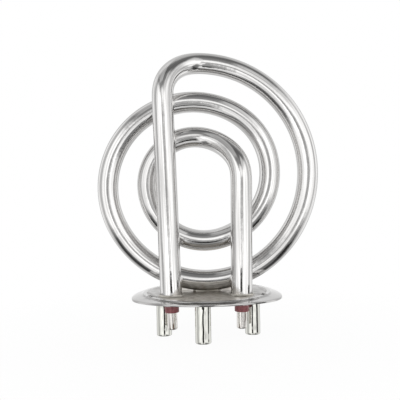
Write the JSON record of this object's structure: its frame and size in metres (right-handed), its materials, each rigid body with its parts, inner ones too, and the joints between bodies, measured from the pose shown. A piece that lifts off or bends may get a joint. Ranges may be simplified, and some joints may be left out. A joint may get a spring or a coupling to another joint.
{
  "type": "kettle heating element",
  "caption": "Round stainless head plate with studs below it and one sheathed tube that rises as a leg, winds through a flat upright spiral and returns as a second leg.",
  "frame": {"origin": "centre of the head plate's dry face, where the kettle's control rests", "axes": "+Z along the head plate's axis into the water, +Y from the legs back to the plane of the spiral, +X from the taller leg to the shorter one"},
  "size_m": [0.0702, 0.0478, 0.0891],
  "materials": {
    "sheath_steel": "polished stainless steel",
    "plate_steel": "satin stainless steel",
    "stud_nickel": "bright nickel plating",
    "braze": "satin nickel braze",
    "seal_rubber": "smooth dark red silicone",
    "magnesia": "pressed white powder",
    "resistance_wire": "dull nickel-chromium wire"
  },
  "bodies": {
    "root": {"sheath_tube": "sheath_steel", "head_plate": "plate_steel", "stud_front": "stud_nickel", "stud_left": "stud_nickel", "stud_right": "stud_nickel", "end_seal_left": "seal_rubber", "end_seal_right": "seal_rubber", "cold_pin_left": "stud_nickel", "cold_pin_right": "stud_nickel", "leg_braze_left": "braze", "leg_braze_right": "braze", "stud_braze_front": "braze", "stud_braze_left": "braze", "stud_braze_right": "braze", "return_braze": "braze", "resistance_coil": "resistance_wire", "magnesia_sleeve": "magnesia", "magnesia_core": "magnesia"}
  },
  "joints": []
}
